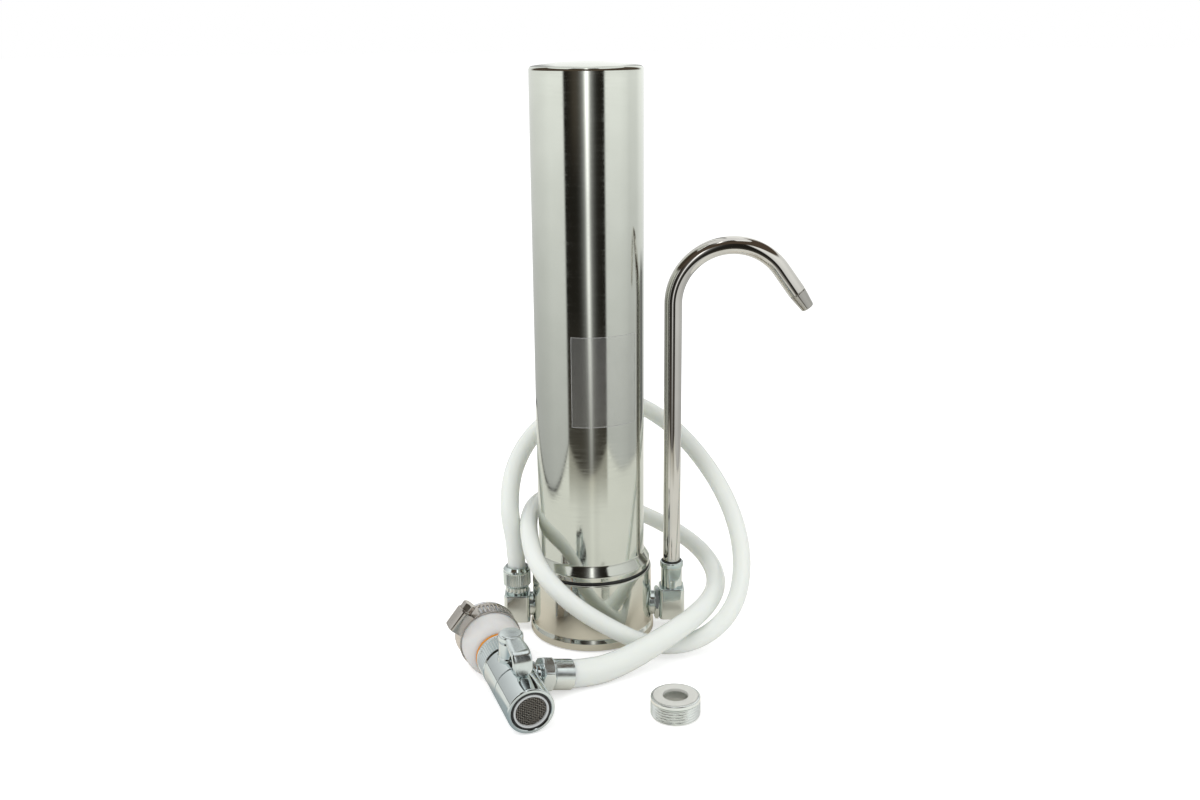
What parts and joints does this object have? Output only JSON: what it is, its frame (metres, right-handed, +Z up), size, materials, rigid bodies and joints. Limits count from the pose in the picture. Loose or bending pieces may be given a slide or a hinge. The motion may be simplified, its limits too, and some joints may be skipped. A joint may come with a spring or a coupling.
{
  "type": "countertop water purifier",
  "caption": "Steel countertop water purifier: domed filter housing screwed to a round base, swan-neck spout that swivels, white hose to a tap diverter with a lever, spare tap adapter.",
  "frame": {"origin": "centre of the base's foot pad, on the counter", "axes": "+Z up along the housing's axis, +X towards the spout, -Y towards the diverter and the viewer"},
  "size_m": [0.2175, 0.2121, 0.3446],
  "materials": {
    "polished_steel": "mirror polished stainless steel with faint turning marks",
    "satin_chrome": "satin chrome plating",
    "diverter_chrome": "bright chrome plating",
    "spare_chrome": "bright chrome plating",
    "clamp_steel": "rolled stainless steel",
    "brass": "machined",
    "black_rubber": "matt",
    "orange_rubber": "translucent silicone",
    "white_hose": "smooth, half gloss",
    "white_nylon": "translucent, satin",
    "dark_plastic": "satin",
    "grey_plastic": "satin",
    "wire_screen": "woven wire",
    "cream_washer": "matt",
    "inner_plastic": "moulded",
    "carbon": "pressed carbon, matt",
    "fleece": "fleece"
  },
  "bodies": {
    "base": {"base_cup": "polished_steel", "base_manifold": "inner_plastic", "base_plate": "clamp_steel", "base_screws": "clamp_steel", "foot_pad": "black_rubber", "housing_gasket": "black_rubber", "filter_block": "carbon", "filter_wrap": "fleece", "filter_core": "inner_plastic", "cartridge_top_cap": "inner_plastic", "cartridge_bottom_cap": "inner_plastic", "cartridge_orings": "black_rubber", "inlet_elbow": "satin_chrome", "inlet_washer": "satin_chrome", "inlet_nut": "satin_chrome", "inlet_olive": "brass", "outlet_elbow": "satin_chrome", "outlet_locknut": "satin_chrome", "outlet_washer": "satin_chrome", "hose": "white_hose", "diverter_body": "diverter_chrome", "diverter_nut": "diverter_chrome", "diverter_olive": "brass", "tail_washer": "black_rubber", "tap_insert": "brass", "tap_washer": "black_rubber", "nose_oring": "orange_rubber", "tap_sleeve": "white_nylon", "clamp_band": "clamp_steel", "clamp_housing": "clamp_steel", "aerator_shell": "dark_plastic", "aerator_ring": "grey_plastic", "aerator_screen": "wire_screen", "aerator_insert": "grey_plastic", "aerator_washer": "black_rubber"},
    "housing_seal": {"housing_oring": "black_rubber"},
    "housing": {"housing_tube": "polished_steel", "housing_neck_ring": "inner_plastic"},
    "spout": {"spout_pipe": "polished_steel", "spout_nozzle": "polished_steel", "spout_orings": "black_rubber", "spout_clip": "clamp_steel"},
    "lever": {"diverter_lever": "diverter_chrome", "valve_spindle": "brass", "spindle_oring": "black_rubber"},
    "collar": {"swivel_collar": "diverter_chrome"},
    "screw": {"clamp_screw": "clamp_steel"},
    "spare": {"spare_adapter": "spare_chrome", "spare_washer": "cream_washer"}
  },
  "joints": [
    {"name": "housing_lift", "type": "slide", "parent": "base", "child": "housing_seal", "axis": [0, 0, 1], "range_m": [0, 0.009]},
    {"name": "housing_turn", "type": "hinge", "parent": "housing_seal", "child": "housing", "pos_m": [0, 0, 0.05], "axis": [0, 0, 1], "range_deg": [0, 1080]},
    {"name": "spout_swivel", "type": "hinge", "parent": "base", "child": "spout", "pos_m": [0.0497, 0, 0.042], "axis": [0, 0, 1], "range_deg": [-120, 120]},
    {"name": "diverter_turn", "type": "hinge", "parent": "base", "child": "lever", "pos_m": [-0.04409, -0.09907, 0.03923], "axis": [0.0205, -0.0563, 0.9982], "range_deg": [0, 90]},
    {"name": "collar_spin", "type": "hinge", "parent": "base", "child": "collar", "pos_m": [-0.05038, -0.08181, 0.01689], "axis": [-0.3414, 0.938, 0.0599], "continuous": true},
    {"name": "clamp_screw_spin", "type": "hinge", "parent": "base", "child": "screw", "pos_m": [-0.07708, -0.05947, 0.03236], "axis": [0.5947, 0.1662, 0.7866], "continuous": true},
    {"name": "spare_lift", "type": "slide", "parent": "base", "child": "spare", "axis": [0, 0, 1], "range_m": [0, 0.1]}
  ],
  "couplings": [
    {"joint": "housing_lift", "follows": "housing_turn", "m_per_rad": 0.00047746}
  ]
}
